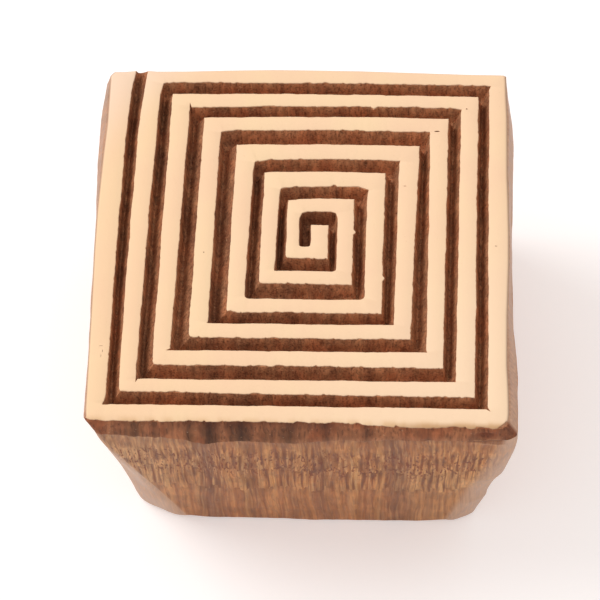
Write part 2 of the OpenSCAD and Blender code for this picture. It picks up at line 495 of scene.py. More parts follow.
# Columns round the sides, clockwise from the inner side of the mouth: wall or arris, share of the way
# along it, and the point of the groove's mouth that the column starts from, if any
WALL_STEPS = {"back": 100, "right": 100, "front": 210, "left": 100}
ARRIS_STEPS = 11
MOUTH_SIDE_STEPS = 9
back_left = outline_point("back", 0, mouth_swell, "collar", 0).x
back_right = outline_point("back", 1, mouth_swell, "collar", 0).x


def back_share(index):
    """Share of the way along the back wall of a point of the mouth."""
    return (wood.points[index].x - back_left) / (back_right - back_left)


mouth_outer = back_share(groove_grid[0][0])
mouth_inner = back_share(groove_grid[0][LAST_LINE])
back_steps = WALL_STEPS["back"]
columns = [("back", lerp(mouth_inner, 1, step / back_steps), None) for step in range(1, back_steps)]
for before, after in zip(WALLS, WALLS[1:] + WALLS[:1]):
    arris_shares = [(1 - cos(pi * step / ARRIS_STEPS)) / 2 for step in range(ARRIS_STEPS)]
    columns += [(before + "_" + after, share, None) for share in arris_shares]
    if after != "back":
        columns += [(after, step / WALL_STEPS[after], None) for step in range(WALL_STEPS[after])]
columns += [("back", mouth_outer * step / MOUTH_SIDE_STEPS, None) for step in range(MOUTH_SIDE_STEPS)]
columns += [("back", back_share(index), index) for index in groove_grid[0]]

# Rows down the collar and down the body, close together under the collar and at the rounded edge of the back
COLLAR_ROWS = [0, 0.04, 0.09, 0.15, 0.22, 0.32, 0.44, 0.56, 0.68, 0.8, 0.9, 1]
BODY_ROWS = [0.003 + 0.0055 * row for row in range(16)] + [0.1 + 0.0152 * row for row in range(58)]
BODY_ROWS += [0.978, 0.984, 0.989, 0.993, 0.997, 1]
# How far the wood is worn round at the rim of the face, and how near the mouth that begins
RIM_ROUND = {"back": 0.3, "right": 0.35, "front": 0.06, "left": 0.35}
RIM_DROP = 0.6
RIM_FADE = 1.5
# How far the edge of the back is rounded, and how far at the front ends of the two front arrises
BACK_ROUND = 0.9
FRONT_END_ROUND = 1.65
FRONT_END_FADE = 7.0
# How far each wall of the collar was shaved smooth, which also shows as a pale painted sheen
COLLAR_SHAVED_SHEEN = {"back": 0.75, "right": 0.95, "front": 0.0, "left": 0.75}
# Knife cut of an arris, pale partly as painted sheen: depth below the collar where pale begins, over how
# much, and how pale
PALE_CUTS = {
    "back_right": (0, 6, 0.85), "right_front": (-1, 1, 0.95), "front_left": (5.5, 4.5, 0.85),
    "left_back": (0, 6, 0.85),
}
PALE_REACH = 0.8
NEAREST_ARRIS = {
    "back": ("left_back", "back_right"), "right": ("back_right", "right_front"),
    "front": ("right_front", "front_left"), "left": ("front_left", "left_back"),
}
# Hollow where the knife dug into an arris: height, half length and depth, and its reach along the walls
ARRIS_HOLLOWS = {"right_front": (14.5, 5.5, 0.48), "front_left": (16.0, 13.0, 0.35)}
HOLLOW_REACH = 3.0
# Bumps on the collar and on the body: height, length along the wall and length up and down
COLLAR_SWELL = (0.14, 6, 5)
COLLAR_FACETS = (0.05, 1.2, 7)
BODY_SWELL = (0.2, 11, 14)
BODY_FACETS = (0.08, 3, 7)
BODY_RIDGES = (0.03, 0.9, 6)
PALE_PATCHES = (0.3, 3, 6)
# Distances over which bumps begin: from the ends of the front wall, below the face and below the collar
FOOT_CALM = 1.5
COLLAR_CALM = 0.8
BODY_CALM = 2
# Height and length of the steps in the foot of the front collar, by shares of the wall
FOOT_STEPS = (0.45, 1 / 38)
FOOT_NOTCHES = (0.2, 1 / 100)
# Front edge of the collar: depth to which it is broken, share of the chips, and height and length of its
# waves and teeth
BROKEN_DEPTH = 0.9
CHIP_SHARE = 1.3
EDGE_WAVES = (0.2, 3)
EDGE_TEETH = (0.14, 0.45)
# Pocket torn out of it near the right end: place along and depth of its middle, half sizes, and way in
POCKET = (27.1, 1.8)
POCKET_HALF = (2.0, 1.0)
POCKET_IN = 0.5
# Stretch of the front of the collar darkened below the face as painted shade, and the places from which its
# two ends grow darker
PAINTED_SHADE_FROM = -22
PAINTED_SHADE_TO = 12
PAINTED_SHADE_DEPTH = 2.2
DARKER_LEFT = -26.5
DARKER_RIGHT = 28.6
# Dirt under the foot of the front collar and down the front left arris: strength, and depth where it ends
FOOT_DIRT = (0.25, 1.3)
ARRIS_DIRT = (0.35, 9)
# Crumbs of dirt on the collar at the front right arris, and how far the foot of the front collar was shaved
CORNER_CRUMBS = (0.5, 0.6, 0.6)
FOOT_SHAVED = 0.22
# Small split under the right end of the front of the collar: where its crack and its torn patch begin, and
# how far the crack runs below the foot
SPLIT_FROM = 24.2
PATCH_FROM = 25
CRACK_DROP = 0.5
CRACK_IN = 0.12
LIP_OUT = 0.08
# How far the ends of an arris face towards its middle
ARRIS_TURN = 0.2


def facing(part, share):
    """Outward direction of a wall or an arris."""
    if part in WALLS:
        return FACING[part]
    before, after = part.split("_")
    return (FACING[before] * (1 + ARRIS_TURN - share) + FACING[after] * (ARRIS_TURN + share)).normalized()


def lumps(size, x, y, z, seed):
    """Bumps of the given height, length across and length up and down."""
    height, across, upright = size
    return height * ripple(x / across, y / across, z / upright, seed)


def fall_back(share):
    """How far a rounded edge falls back, from 1 at its end to 0 at its beginning."""
    return 1 - sqrt(max(0.0, 1 - (1 - share) ** 2))


def front_collar(x, around, depth):
    """How far the front of the collar is broken in at a point, and how dark it is with dirt and painted
    shade.
    """
    ragged = CHIP_SHARE * chip(around, 52) + abs(bumps(EDGE_WAVES, around, 53))
    ragged += max(0, bumps(EDGE_TEETH, around, 57))
    ragged *= max(0, 1 - depth / BROKEN_DEPTH)
    pocket = max(0, 1 - ((x - POCKET[0]) / POCKET_HALF[0]) ** 2)
    pocket *= max(0, 1 - ((depth - POCKET[1]) / POCKET_HALF[1]) ** 2)
    dirt_and_shade = min(1, 0.85 * pocket + 0.8 * ragged)
    dirt_and_shade = max(dirt_and_shade, min(0.4, 0.14 * (DARKER_LEFT - x)), min(0.5, 0.4 * (x - DARKER_RIGHT)))
    # Painted shade along a stretch just below the edge of the face
    face_edge_shade = max(0, min(1, (x - PAINTED_SHADE_FROM) / 5, (PAINTED_SHADE_TO - x) / 8))
    return ragged + POCKET_IN * pocket, max(dirt_and_shade, 0.55 * face_edge_shade * max(0, 1 - depth / PAINTED_SHADE_DEPTH))


def split_under_collar(x, below):
    """Crack, torn patch and raised lip of the small split, each from 0 to 1."""
    crack = max(0, 1 - abs(below - CRACK_DROP) / 0.35) * min(1, (x - SPLIT_FROM) / 0.8)
    patch_foot = CRACK_DROP + 1.7 * limited((x - PATCH_FROM) / 3.8)
    patch = limited((below - 0.4) / 0.2) * limited((patch_foot - below) / 0.3)
    lip = max(0, 1 - abs(below - patch_foot - 0.1) / 0.3) * limited((x - PATCH_FROM) / 1.5)
    return crack, patch, lip


# Sides of the collar and of the body
side_grid = []
rim = []
for part, share, mouth_index in columns:
    walls = part.split("_")
    outward = facing(part, share)
    foot, swell = foot_at(part, share)
    rounding = sum(RIM_ROUND[wall] for wall in walls) / len(walls)
    if part == "back":
        mouth_gap = min(abs(share - mouth_outer), abs(share - mouth_inner)) * (back_right - back_left)
        rounding *= min(1.0, mouth_gap / RIM_FADE)
    top_depth = 0.0 if mouth_index is None else WOOD_TOP - wood.points[mouth_index].z
    on_arris = 1.0
    nearest = part
    end_gap = 0.0
    if part in WALLS:
        end_gap = min(share, 1 - share) * 2 * FACE_HALF
        on_arris = 0.5 * max(0.0, 1 - end_gap / PALE_REACH)
        nearest = NEAREST_ARRIS[part][share > 0.5]
    pale_from, pale_over, paleness = PALE_CUTS[nearest]
    round_fade = {"front": min(1.0, end_gap / FRONT_END_FADE), "front_left": share, "right_front": 1 - share}
    back_round = lerp(FRONT_END_ROUND, BACK_ROUND, round_fade.get(part, 1.0))
    soft_foot = 0.0
    if part == "front":
        soft_foot = lerp(1.0, 0.3, limited((share - 0.5) / 0.15))
        stepped = bumps(FOOT_STEPS, share, 58) + bumps(FOOT_NOTCHES, share, 59)
        foot += min(1.0, end_gap / FOOT_CALM) * stepped
    column = []
    for down in COLLAR_ROWS:
        if down == 0 and mouth_index is not None:
            column.append(mouth_index)
            continue
        depth = lerp(top_depth, foot, down)
        flat = outline_point(part, share, swell, "collar", depth / foot)
        x, y, z = flat.x, flat.y, WOOD_TOP - depth
        around = x * outward.y - y * outward.x
        bulge = lumps(COLLAR_SWELL, x, y, z, 50) + lumps(COLLAR_FACETS, around, 0, z, 51)
        bulge *= min(1, depth / COLLAR_CALM) * (mouth_index is None)
        if depth < RIM_DROP:
            bulge -= rounding * fall_back(depth / RIM_DROP)
        shaved = min(COLLAR_SHAVED_SHEEN[wall] for wall in walls)
        dirt_and_shade = 0.0
        if part == "front":
            broken, dirt_and_shade = front_collar(x, around, depth)
            bulge -= broken
            shaved = FOOT_SHAVED * soft_foot * max(0, 1 - (foot - depth))
        if part == "right_front":
            dirt_and_shade = 0.5 + lumps(CORNER_CRUMBS, around, 0, z, 61)
        column.append(wood.point(x + outward.x * bulge, y + outward.y * bulge, z, shaved, dirt_and_shade))
    for down in BODY_ROWS:
        depth = lerp(foot, WOOD_TOP, down)
        below = depth - foot
        flat = outline_point(part, share, swell, "body", down)
        x, y, z = flat.x, flat.y, WOOD_TOP - depth
        around = x * outward.y - y * outward.x
        # Paler down a knife-cut arris, partly as a painted sheen
        shaved = on_arris * limited((below - pale_from) / pale_over)
        shaved *= min(1.0, paleness + lumps(PALE_PATCHES, x, y, z, 60))
        bulge = lumps(BODY_SWELL, x, y, z, 54) + lumps(BODY_FACETS, x, y, z, 55)
        bulge += lumps(BODY_RIDGES, around, 0, z, 56)
        bulge *= min(1, 0.3 + below / BODY_CALM)
        if nearest in ARRIS_HOLLOWS:
            height, half_length, dug = ARRIS_HOLLOWS[nearest]
            near_arris = max(0.0, 1 - end_gap / HOLLOW_REACH)
            bulge -= dug * near_arris * max(0.0, 1 - ((z - height) / half_length) ** 2)
        if z < back_round:
            bulge -= back_round * fall_back(z / back_round)
        dirt_and_shade = FOOT_DIRT[0] * soft_foot * max(0.0, 1 - below / FOOT_DIRT[1])
        if nearest == "front_left":
            along_arris = ARRIS_DIRT[0] * min(1.0, 2 * on_arris)
            dirt_and_shade = max(dirt_and_shade, along_arris * max(0.0, 1 - below / ARRIS_DIRT[1]))
        if part == "front" and x > SPLIT_FROM:
            crack, patch, lip = split_under_collar(x, below)
            bulge += LIP_OUT * lip - CRACK_IN * crack
            # The crack is painted dark as the shade inside it, and the torn patch half as dark
            dirt_and_shade = max(dirt_and_shade, crack, 0.5 * patch)
            shaved = max(shaved * (1 - max(crack, patch)), 0.5 * lip)
        column.append(wood.point(x + outward.x * bulge, y + outward.y * bulge, z, shaved, dirt_and_shade))
    side_grid.append(column)
    if mouth_index is None:
        rim.append((column[0], part))
for here, there in zip(side_grid, side_grid[1:] + side_grid[:1]):
    for level in range(len(here) - 1):
        slot = PARED_COLLAR if level < len(COLLAR_ROWS) - 1 else RASPED_BODY
        wood.face((here[level], there[level], there[level + 1], here[level + 1]), slot)
wood.face([column[-1] for column in side_grid], RASPED_BODY)


def fill(flat_points, holes=()):
    """Triangles inside a closed line of flat points and outside the holes, as numbers of all the points."""
    flat_points = list(flat_points)
    edges = [(k, (k + 1) % len(flat_points)) for k in range(len(flat_points))]
    owner = [-1] * len(flat_points)
    for number, hole in enumerate(holes):
        first = len(flat_points)
        edges += [(first + k, first + (k + 1) % len(hole)) for k in range(len(hole))]
        flat_points += hole
        owner += [number] * len(hole)
    inside_only, close_by = 1, 1e-7
    result = delaunay_2d_cdt(flat_points, edges, [], inside_only, close_by)
    points, triangles, sources = result[0], result[2], result[3]
    assert len(points) == len(flat_points), "the outline crosses itself"
    kept = [tuple(sources[k][0] for k in triangle) for triangle in triangles]
    return [t for t in kept if owner[t[0]] < 0 or not owner[t[0]] == owner[t[1]] == owner[t[2]]]


# Top of the raised line, under the ground
ridge = [row[0] for row in groove_grid] + hook_rings[0][1:-1]
ridge += [row[LAST_LINE] for row in reversed(groove_grid)]
ridge += [index for index, part in rim]
for triangle in fill([wood.points[index].xy for index in ridge]):
    wood.face([ridge[k] for k in triangle], GROOVE)


def srgb(red, green, blue):
    """Linear colour, with a fourth value of 1, of a screen colour given from 0 to 255."""
    shares = [value / 255 for value in (red, green, blue)]
    return (*[((c + 0.055) / 1.055) ** 2.4 if c > 0.04 else c / 12.92 for c in shares], 1)


def add(tree, kind, sockets=None, **settings):
    """Adds a shader node; each socket takes a value or the output of another node."""
    made = tree.nodes.new("ShaderNode" + kind)
    for name, value in settings.items():
        setattr(made, name, value)
    for name, value in (sockets or {}).items():
        if isinstance(value, bpy.types.NodeSocket):
            tree.links.new(value, made.inputs[name])
        else:
            made.inputs[name].default_value = value
    return made


def reckon(tree, operation, first, second=0.0, third=0.0):
    """Result of one operation on up to three values."""
    return add(tree, "Math", {0: first, 1: second, 2: third}, operation=operation).outputs[0]


def times(tree, first, second):
    """Product of two values."""
    return reckon(tree, "MULTIPLY", first, second)


def vector(tree, operation, first, second):
    """Result of one operation on two places or colours."""
    return add(tree, "VectorMath", {0: first, 1: second}, operation=operation).outputs[0]


def combined(tree, x, y, z):
    """Place made of three values."""
    return add(tree, "CombineXYZ", {0: x, 1: y, 2: z}).outputs[0]


def rescale(tree, value, low, high, to_low=0.0, to_high=1.0):
    """Smooth step from one range to another."""
    sockets = {"Value": value, "From Min": low, "From Max": high, "To Min": to_low, "To Max": to_high}
    return add(tree, "MapRange", sockets, interpolation_type="SMOOTHSTEP").outputs[0]


def ramp(tree, factor, stops):
    """Colour picked along a list of places and colours."""
    made = add(tree, "ValToRGB", {"Fac": factor})
    points = made.color_ramp.elements
    points[0].position, points[0].color = stops[0]
    points[1].position, points[1].color = stops[-1]
    for place, colour in stops[1:-1]:
        points.new(place).color = colour
    return made.outputs[0]


def blend(tree, factor, first, second):
    """Colour a share of the way from the first to the second."""
    return add(tree, "Mix", {0: factor, 6: first, 7: second}, data_type="RGBA").outputs[2]


def layered(tree, colour, layers):
    """Colour under a list of layers, each a share and a screen colour."""
    for share, tint in layers:
        colour = blend(tree, share, colour, srgb(*tint))
    return colour


def shaded(tree, colour, shade):
    """Colour made darker or lighter by a share."""
    return vector(tree, "MULTIPLY", colour, combined(tree, shade, shade, shade))


def cloud(tree, place, scale, detail=2.0, rough=0.5):
    """Noise with the given number of bumps per unit along X, Y and Z."""
    sockets = {"Vector": vector(tree, "MULTIPLY", place, scale), "Scale": 1.0}
    return add(tree, "TexNoise", {**sockets, "Detail": detail, "Roughness": rough}).outputs[0]


def millimetres(tree):
    """Place on the object in mm."""
    return vector(tree, "MULTIPLY", add(tree, "TexCoord").outputs["Object"], (1000, 1000, 1000))


def start_material(name):
    """New material, with its tree of nodes and its shader."""
    material = bpy.data.materials.new(name)
    material.use_nodes = True
    tree = material.node_tree
    tree.nodes.clear()
    shader = add(tree, "BsdfPrincipled")
    add(tree, "OutputMaterial", {"Surface": shader.outputs[0]})
    return material, tree, shader


# Growth of the tree: rings about a pith to the left of the block. Dark streaks follow them, given by their
# distance from the pith, half width and strength
PITH = (-85, -22, 0)
RING_START = 50.0
RING_SPAN = 80.0
STREAKS = [
    (62.7, 1.3, 0.75), (65.4, 0.7, 0.6), (70.1, 0.8, 0.8), (72.9, 1.9, 1.0), (77.4, 2.3, 1.0),
    (81.2, 1.2, 0.45), (84.6, 2.0, 0.75), (90.0, 1.3, 0.6), (95.4, 0.6, 0.7), (104.5, 0.6, 0.6),
]
SOFT_STREAKS = [
    (63.5, 1.2, 0.3), (71.6, 3.3, 0.9), (77.6, 2.0, 0.5), (84.1, 1.5, 0.35), (89.0, 1.8, 0.5),
    (99.6, 2.8, 0.75), (104.5, 1.0, 0.4),
]


def grain(tree, dark_streaks):
    """Place bent by the drift of the fibres, ring noise, dark streaks, fibres and vessel lines."""
    place = millimetres(tree)
    drift_place = vector(tree, "MULTIPLY", place, (0.11, 0.11, 0.04))
    drift = add(tree, "TexNoise", {"Vector": drift_place, "Scale": 1.0, "Detail": 2.0}).outputs["Color"]
    shift = vector(tree, "MULTIPLY", vector(tree, "SUBTRACT", drift, (0.5, 0.5, 0.5)), (2.2, 2.2, 0))
    bent = vector(tree, "ADD", place, shift)
    spoke = vector(tree, "MULTIPLY", vector(tree, "SUBTRACT", bent, PITH), (1, 1, 0))
    distance = add(tree, "VectorMath", {0: spoke}, operation="LENGTH").outputs["Value"]
    ring_noise = {"W": times(tree, distance, 0.55), "Scale": 1.0, "Detail": 4.0, "Roughness": 0.6}
    rings = add(tree, "TexNoise", ring_noise, noise_dimensions="1D").outputs[0]
    stops = []
    for middle, half_width, strength in dark_streaks:
        for place_at, value in ((middle - half_width, 0), (middle, strength), (middle + half_width, 0)):
            stops.append(((place_at - RING_START) / RING_SPAN, (value, value, value, 1)))
    ring_share = reckon(tree, "DIVIDE", reckon(tree, "SUBTRACT", distance, RING_START), RING_SPAN)
    streaks = reckon(tree, "ADD", ramp(tree, ring_share, stops), 0.0)
    fibres = cloud(tree, bent, (2.6, 2.6, 0.06), 3.0, 0.6)
    vessels = rescale(tree, cloud(tree, bent, (3.2, 3.2, 0.16), 0.0), 0.62, 0.72)
    return bent, rings, streaks, fibres, vessels


def reading(tree, name):
    """A value stored on the points of the mesh."""
    return add(tree, "Attribute", attribute_name=name).outputs["Fac"]


def finish_wood(tree, shader, colour, fibres, height, bump_height):
    """Joins the parts of a wood: smoother where it was shaved and paler there as a painted sheen, dark where
    dirt is held and shade is painted.
    """
    shaved = reading(tree, "shaved")
    pale = ramp(tree, fibres, [(0.3, srgb(182, 133, 103)), (0.7, srgb(219, 176, 144))])
    colour = blend(tree, times(tree, shaved, 0.85), colour, pale)
    colour = blend(tree, times(tree, reading(tree, "dirt_and_shade"), 0.85), colour, srgb(88, 42, 30))
    tree.links.new(colour, shader.inputs["Base Color"])
    rough = rescale(tree, fibres, 0.3, 0.7, 0.6, 0.8)
    rough = reckon(tree, "SUBTRACT", rough, times(tree, shaved, 0.3))
    tree.links.new(rough, shader.inputs["Roughness"])
    strength = rescale(tree, shaved, 0, 1, 0.8, 0.25)
    bump = add(tree, "Bump", {"Strength": strength, "Distance": bump_height * MM, "Height": height})
    tree.links.new(bump.outputs[0], shader.inputs["Normal"])


def make_pared_wood(name, light, mid, red, dark, vessel, streak_share, dust_share, crumb_share):
    """Wood left by a sharp edge tool: clean streaks, with vessel lines cut open."""
    material, tree, shader = start_material(name)
    bent, rings, streaks, fibres, vessels = grain(tree, STREAKS)
    colour = ramp(tree, rings, [(0.35, srgb(*mid)), (0.65, srgb(*light))])
    patches = rescale(tree, cloud(tree, bent, (0.25, 0.25, 0.12)), 0.45, 0.65, 0, 0.7)
    cut_open = times(tree, vessels, 0.3)
    dark_streaks = times(tree, streaks, streak_share)
    colour = layered(tree, colour, [(patches, red), (dark_streaks, dark), (cut_open, vessel)])
    blotches = rescale(tree, cloud(tree, bent, (0.9, 0.9, 0.5), 1.0), 0.35, 0.65, 0.84, 1.16)
    shade = times(tree, rescale(tree, fibres, 0.25, 0.75, 0.78, 1.2), blotches)
    colour = shaded(tree, colour, shade)
    dust = rescale(tree, cloud(tree, bent, (2.4, 2.4, 2.4), 1.0), 0.7, 0.76, 0, dust_share)
    crumbs = cloud(tree, bent, (3.4, 3.4, 3.4), 0.0)
    pale_crumbs = rescale(tree, crumbs, 0.55, 0.72, 0, crumb_share)
    dark_crumbs = rescale(tree, crumbs, 0.45, 0.28, 0, crumb_share)
    specks = [(dust, (216, 170, 132)), (pale_crumbs, (196, 138, 98)), (dark_crumbs, (58, 33, 25))]
    colour = layered(tree, colour, specks)
    height = reckon(tree, "SUBTRACT", fibres, times(tree, vessels, 0.8))
    finish_wood(tree, shader, colour, fibres, height, 0.15)
    shader.inputs["Specular IOR Level"].default_value = 0.2
    return material


collar_wood = make_pared_wood(
    "pared_collar_wood", light=(173, 112, 77), mid=(147, 92, 64), red=(160, 90, 58), dark=(56, 35, 27),
    vessel=(64, 40, 31), streak_share=0.95, dust_share=0.3, crumb_share=0.0)
groove_wood = make_pared_wood(
    "chiselled_groove_wood", light=(206, 146, 104), mid=(177, 117, 82), red=(196, 124, 83),
    dark=(117, 73, 54), vessel=(104, 61, 42), streak_share=0.62, dust_share=0.6, crumb_share=0.35)

# The body was worked down in two rows of short upright strokes, and left smoother above and below them
STROKE_WIDTH = 1.1
ROW_HEIGHT = 8.5
SMOOTH_BELOW = 14.9
SMOOTH_ABOVE = 31.5


def stroke_rows(tree, bent, fibres, along_wall, height_on_block):
    """Height of the uneven rows, place in a row, row, place across the strokes, random value of each."""
    sway = cloud(tree, bent, (0.9, 0.9, 0.06), 1.0)
    stroke_place = reckon(tree, "MULTIPLY_ADD", along_wall, 1 / STROKE_WIDTH, times(tree, sway, 0.6))
    column = {"W": reckon(tree, "FLOOR", stroke_place)}
    column_random = add(tree, "TexWhiteNoise", column, noise_dimensions="1D").outputs[0]
    lowered = reckon(tree, "SUBTRACT", height_on_block, 2.2)
    row_edge = reckon(tree, "MULTIPLY_ADD", column_random, 2.4, lowered)
    row_edge = reckon(tree, "MULTIPLY_ADD", fibres, 2.0, row_edge)
    row_place = reckon(tree, "DIVIDE", reckon(tree, "SUBTRACT", row_edge, SMOOTH_BELOW), ROW_HEIGHT)
    row = reckon(tree, "MAXIMUM", reckon(tree, "FLOOR", row_place), -1.0)
    row = reckon(tree, "MINIMUM", row, 1.0)
    cell_place = reckon(tree, "MULTIPLY_ADD", row, 0.37, stroke_place)
    cell = {"Vector": combined(tree, reckon(tree, "FLOOR", cell_place), row, 0.0)}
    cell_random = add(tree, "TexWhiteNoise", cell, noise_dimensions="2D").outputs[0]
    return row_edge, row_place, row, cell_place, cell_random


def torn_and_shaded_marks(tree, row_place, cell_place, cell_random, fray):
    """Torn wood between the strokes and at the tops of the rows, darker at the edges and tops of the flutes
    as painted shade.
    """
    from_middle = reckon(tree, "SUBTRACT", reckon(tree, "FRACT", cell_place), 0.5)
    from_middle = reckon(tree, "ABSOLUTE", from_middle)
    gap = times(tree, rescale(tree, from_middle, 0.3, 0.48), rescale(tree, cell_random, 0.3, 0.9, 0, 0.6))
    frayed = rescale(tree, fray, 0.4, 0.62)
    valley = times(tree, rescale(tree, from_middle, 0.05, 0.45, 0.4, 1), frayed)
    row_top = rescale(tree, reckon(tree, "FRACT", row_place), 0.84, 0.95)
    row_top = times(tree, row_top, rescale(tree, reckon(tree, "ABSOLUTE", row_place), 1.0, 1.02, 1, 0))
    tick = times(tree, row_top, rescale(tree, cell_random, 0.55, 0.95, 0, 0.7))
    return reckon(tree, "MAXIMUM", reckon(tree, "MAXIMUM", gap, valley), tick)


def make_rasped_wood():
    """Wood left by a coarse tool: pale strokes with torn wood between them, darker partly as painted shade.
    """
    material, tree, shader = start_material("rasped_body_wood")
    bent, rings, streaks, fibres, vessels = grain(tree, SOFT_STREAKS)
    flat_x, flat_y, height_on_block = add(tree, "SeparateXYZ", {0: bent}).outputs
    across = reckon(tree, "ABSOLUTE", flat_x)
    faces_front = reckon(tree, "GREATER_THAN", reckon(tree, "ABSOLUTE", flat_y), across)
    along_wall = add(tree, "Mix", {0: faces_front, 2: flat_y, 3: flat_x}, data_type="FLOAT").outputs[0]
    which_wall = times(tree, reckon(tree, "ADD", flat_x, flat_y), 0.02)
    wall_place = combined(tree, along_wall, which_wall, height_on_block)
    row_edge, row_place, row, cell_place, cell_random = stroke_rows(
        tree, bent, fibres, along_wall, height_on_block)
    stroke_breaks = rescale(tree, row, 0, 1, 0.09, 0.2)
    row_offset = reckon(tree, "MULTIPLY_ADD", row, 3.7, times(tree, height_on_block, stroke_breaks))
    fray = cloud(tree, combined(tree, along_wall, which_wall, row_offset), (2.2, 1, 1))
    torn_and_shaded = torn_and_shaded_marks(tree, row_place, cell_place, cell_random, fray)
    flecks = rescale(tree, cloud(tree, wall_place, (2.7, 1, 0.85), 1.0), 0.54, 0.68, 0, 0.85)
    torn_row = reckon(tree, "ABSOLUTE", reckon(tree, "SUBTRACT", row_place, 1.3))
    flecks = times(tree, flecks, rescale(tree, torn_row, 0.95, 0.3))
    rough_low = rescale(tree, row_edge, SMOOTH_BELOW - 1.8, SMOOTH_BELOW + 1.8, 0.5, 1)
    rough_high = rescale(tree, row_edge, SMOOTH_ABOVE - 1.5, SMOOTH_ABOVE + 1.5, 1, 0.6)
    rough_zone = times(tree, rough_low, rough_high)

    ring_stops = [(0.3, srgb(182, 116, 75)), (0.5, srgb(200, 134, 85)), (0.7, srgb(212, 149, 93))]
    right_end = rescale(tree, flat_x, 12, 18, 0, 0.6)
    pale_strokes = times(tree, rescale(tree, fray, 0.5, 0.34), rescale(tree, cell_random, 0, 1, 0.6, 0.25))
    towards_back = rescale(tree, row_edge, SMOOTH_BELOW + 1.8, SMOOTH_BELOW - 1.8, 0, 0.4)
    under_collar = rescale(tree, height_on_block, SMOOTH_ABOVE - 1, SMOOTH_ABOVE + 3, 0, 0.3)
    colour = layered(tree, ramp(tree, rings, ring_stops), [
        (rescale(tree, flat_x, -15, -22, 0, 0.6), (216, 166, 122)),
        (times(tree, right_end, rescale(tree, height_on_block, 28, 20)), (228, 170, 116)),
        (towards_back, (176, 110, 74)),
        (under_collar, (160, 104, 72)),
        (times(tree, streaks, 0.8), (130, 88, 70)),
        (times(tree, pale_strokes, rough_zone), (224, 170, 120)),
        # Torn wood, with painted shade at the edges and tops of the flutes
        (times(tree, torn_and_shaded, times(tree, rough_zone, 0.85)), (120, 68, 45)),
        (flecks, (128, 66, 46)),
    ])
    mottle = cloud(tree, wall_place, (0.45, 1, 0.3))
    shade = rescale(tree, fibres, 0.25, 0.75, 0.86, 1.12)
    colour = shaded(tree, colour, times(tree, shade, rescale(tree, mottle, 0.35, 0.65, 0.9, 1.1)))
    colour = blend(tree, times(tree, vessels, 0.2), colour, srgb(112, 68, 48))
    marks = reckon(tree, "MAXIMUM", torn_and_shaded, flecks)
    cut_depth = times(tree, rough_zone, -0.7)
    height = reckon(tree, "MULTIPLY_ADD", marks, cut_depth, times(tree, vessels, -0.3))
    finish_wood(tree, shader, colour, fibres, height, 0.14)
    return material


body_wood = make_rasped_wood()

# Edges that turn by more than this are drawn sharp
SHARP_ANGLE = radians(38)


def make_piece(name, shell, finishes):
    """Object made of a shell, with its list of finishes."""
    mesh = bpy.data.meshes.new(name)
    mesh.from_pydata([point * MM for point in shell.points], [], shell.faces)
    for material in finishes:
        mesh.materials.append(material)
    mesh.polygons.foreach_set("material_index", shell.slots)
    mesh.polygons.foreach_set("use_smooth", [len(face) == 4 for face in shell.faces])
    mesh.set_sharp_from_angle(angle=SHARP_ANGLE)
    mesh.update()
    piece = bpy.data.objects.new(name, mesh)
    bpy.context.scene.collection.objects.link(piece)
    return piece


block = make_piece("carved_block_wood", wood, [collar_wood, body_wood, groove_wood])
block.data.attributes.new("shaved", "FLOAT", "POINT").data.foreach_set("value", wood.shaved)
block.data.attributes.new("dirt_and_shade", "FLOAT", "POINT").data.foreach_set("value", wood.dirt_and_shade)
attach(block, "root")
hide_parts("carved_block")

# Ground coat
# A thin pale ground of chalky paint, spread over the whole face before carving so that lines could be drawn
# on it. The chisel left it only on the raised line. It is worn round at the rim and flaked where the edge
# faces the front.

# Rings of the coat's edge from its underside to its top: height and way in, beside the groove and at
# a worn rim
GROOVE_RINGS = [(-0.02, 0.0), (-0.01, 0.0), (0.11, 0.01), (0.17, 0.05), (0.2, 0.12)]
WORN_RINGS = [(-0.03, 0.3), (-0.42, -0.35), (-0.12, -0.27), (0.12, -0.1), (0.2, 0.15)]
COAT_SCALE = (BLOCK_TOP - WOOD_TOP) / 0.2
# Kinds of edge, which also seed their unevenness, how far their flakes go in, and height and length of
# their bumps
OUTER_EDGE, HOOK_EDGE, INNER_EDGE, RIM_EDGE = range(1, 5)
GROOVE_FLAKE = 0.12
RIM_FLAKE = 0.5
FLAKE_SHARE = 0.4
EDGE_BUMPS = (0.02, 1.5)
BREAK_BUMPS = (0.3, 0.4)
# The way in is limited near a corner of the groove: least, and share of the length of edge up to that corner
LEAST_LIMIT = 0.05
LIMIT_SHARE = 0.35
RIM_LIMIT = 3.0
# The front right corner of the coat is broken off, along a line at this distance right plus forwards
BROKEN_LINE = 59.2
# Nicks through the coat: middle, half length and half width
NICKS = [
    (19.8, 19.55, 0.42, 0.11), (24.24, 23.62, 0.16, 0.09), (15.12, 9.84, 0.22, 0.05),
    (28.62, -0.31, 0.2, 0.05), (-14.29, -2.04, 0.07, 0.12), (-28.5, -17.97, 0.28, 0.03),
    (-28.21, -18.8, 0.03, 0.26), (-28.38, -19.6, 0.03, 0.24),
]
NICK_STEPS = 10
# Share of a nick's size and height, at its top and at its bottom
NICK_RINGS = ((1.0, BLOCK_TOP), (0.75, WOOD_TOP + 0.03))


def coat_edge(row, side, line):
    """Edge of the coat beside one row of the groove: place, way in, place along, raggedness and limit."""
    i, share, place = groove_rows[row][:3]
    inner = lines[i][2] * side
    if share == 0 and i:
        inner = inner + lines[i - 1][2] * side
    if row == 0:
        inner = inner - Vector((0, 1))
    edge_length = (line_corners[line][i + 1] - line_corners[line][i]).length
    limit = LEAST_LIMIT + LIMIT_SHARE * min(share, 1 - share) * edge_length
    return wood.points[groove_grid[row][line]].xy, inner, place, RAGGED[(i % 4, side)], limit


